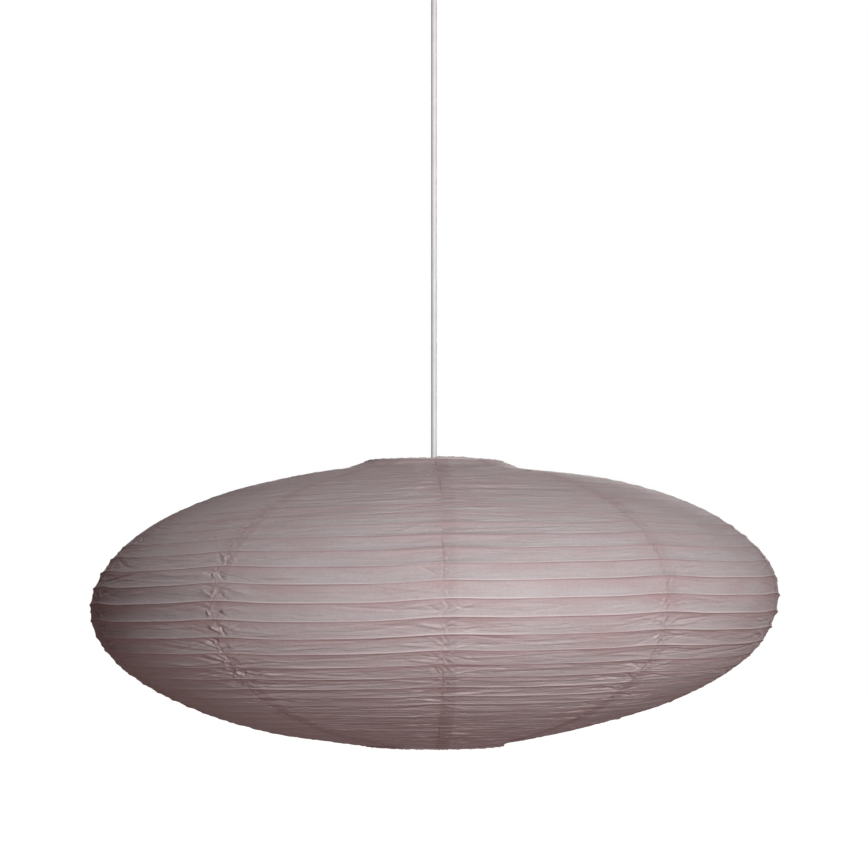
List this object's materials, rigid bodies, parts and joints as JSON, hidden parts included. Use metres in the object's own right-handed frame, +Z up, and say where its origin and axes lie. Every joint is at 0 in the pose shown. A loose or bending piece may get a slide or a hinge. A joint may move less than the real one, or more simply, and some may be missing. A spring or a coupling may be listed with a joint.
{
  "type": "paper lantern pendant lamp",
  "caption": "Flattened round paper lantern shade on a spiral rib wire, hung by a round cord from a ceiling cup, with its wire expander, lamp holder and lamp inside.",
  "frame": {"origin": "on the ceiling, at the middle of the mounting plate's top face", "axes": "+Z up out of the ceiling along the cord; the front of the shade, with the middle gore seam, faces -Y; the expander's legs stand at -X and +X"},
  "size_m": [0.7004, 0.7004, 0.8543],
  "materials": {
    "zinc_steel": "satin",
    "white_plastic": "gloss",
    "brass": "satin",
    "cord_pvc": "satin",
    "grey_rubber": "matt",
    "holder_insert": "matt",
    "core_brown": "satin",
    "core_blue": "satin",
    "nickel_cap": "polished",
    "opal_dome": "satin",
    "rib_steel": "matt",
    "rose_paper": "matt"
  },
  "bodies": {
    "ceiling_fitting": {"mounting_plate": "zinc_steel", "plate_screw_left": "zinc_steel", "plate_screw_right": "zinc_steel", "terminal_block": "white_plastic", "terminal_screw_live": "brass", "terminal_screw_neutral": "brass", "ceiling_cup": "white_plastic", "cord_grip": "white_plastic", "cord_grip_nut": "white_plastic", "cup_cord": "cord_pvc"},
    "boot": {"cord_boot": "grey_rubber"},
    "cord": {"pendant_cord": "cord_pvc"},
    "pendant": {"cord_gland": "white_plastic", "gland_screw": "white_plastic", "lampholder_cap": "white_plastic", "lampholder_body": "white_plastic", "lampholder_insert": "holder_insert", "socket_shell": "brass", "socket_contact": "brass", "holder_core_live": "core_brown", "holder_core_neutral": "core_blue", "expander_ring": "zinc_steel", "expander_arm_left": "zinc_steel", "expander_arm_right": "zinc_steel", "expander_leg_left": "zinc_steel", "expander_leg_right": "zinc_steel", "top_ring": "zinc_steel", "rib_wire": "rib_steel", "paper_gore_01": "rose_paper", "paper_gore_02": "rose_paper", "paper_gore_03": "rose_paper", "paper_gore_04": "rose_paper", "paper_gore_05": "rose_paper", "paper_gore_06": "rose_paper", "paper_gore_07": "rose_paper", "paper_gore_08": "rose_paper", "paper_gore_09": "rose_paper", "paper_gore_10": "rose_paper"},
    "bottom_ring": {"bottom_ring": "zinc_steel"},
    "shade_nut": {"shade_nut": "white_plastic"},
    "lamp": {"lamp_contact": "nickel_cap", "lamp_cap": "nickel_cap", "lamp_housing": "white_plastic", "lamp_dome": "opal_dome"}
  },
  "joints": [
    {"name": "swing_sideways", "type": "hinge", "parent": "ceiling_fitting", "child": "boot", "pos_m": [0, 0, -0.0725], "axis": [0, 1, 0], "range_deg": [-12, 12]},
    {"name": "swing_forwards", "type": "hinge", "parent": "boot", "child": "cord", "pos_m": [0, 0, -0.0725], "axis": [1, 0, 0], "range_deg": [-12, 12]},
    {"name": "cord_twist", "type": "hinge", "parent": "cord", "child": "pendant", "pos_m": [0, 0, -0.58], "axis": [0, 0, 1], "range_deg": [-180, 180]},
    {"name": "shade_collapse", "type": "slide", "parent": "pendant", "child": "bottom_ring", "axis": [0, 0, 1], "range_m": [0, 0.25], "deforming": ["paper_gore_01", "paper_gore_02", "paper_gore_03", "paper_gore_04", "paper_gore_05", "paper_gore_06", "paper_gore_07", "paper_gore_08", "paper_gore_09", "paper_gore_10", "rib_wire"]},
    {"name": "shade_nut_turn", "type": "hinge", "parent": "pendant", "child": "shade_nut", "pos_m": [0, 0, -0.625], "axis": [0, 0, 1], "continuous": true},
    {"name": "lamp_turn", "type": "hinge", "parent": "pendant", "child": "lamp", "pos_m": [0, 0, -0.64], "axis": [0, 0, 1], "continuous": true}
  ]
}
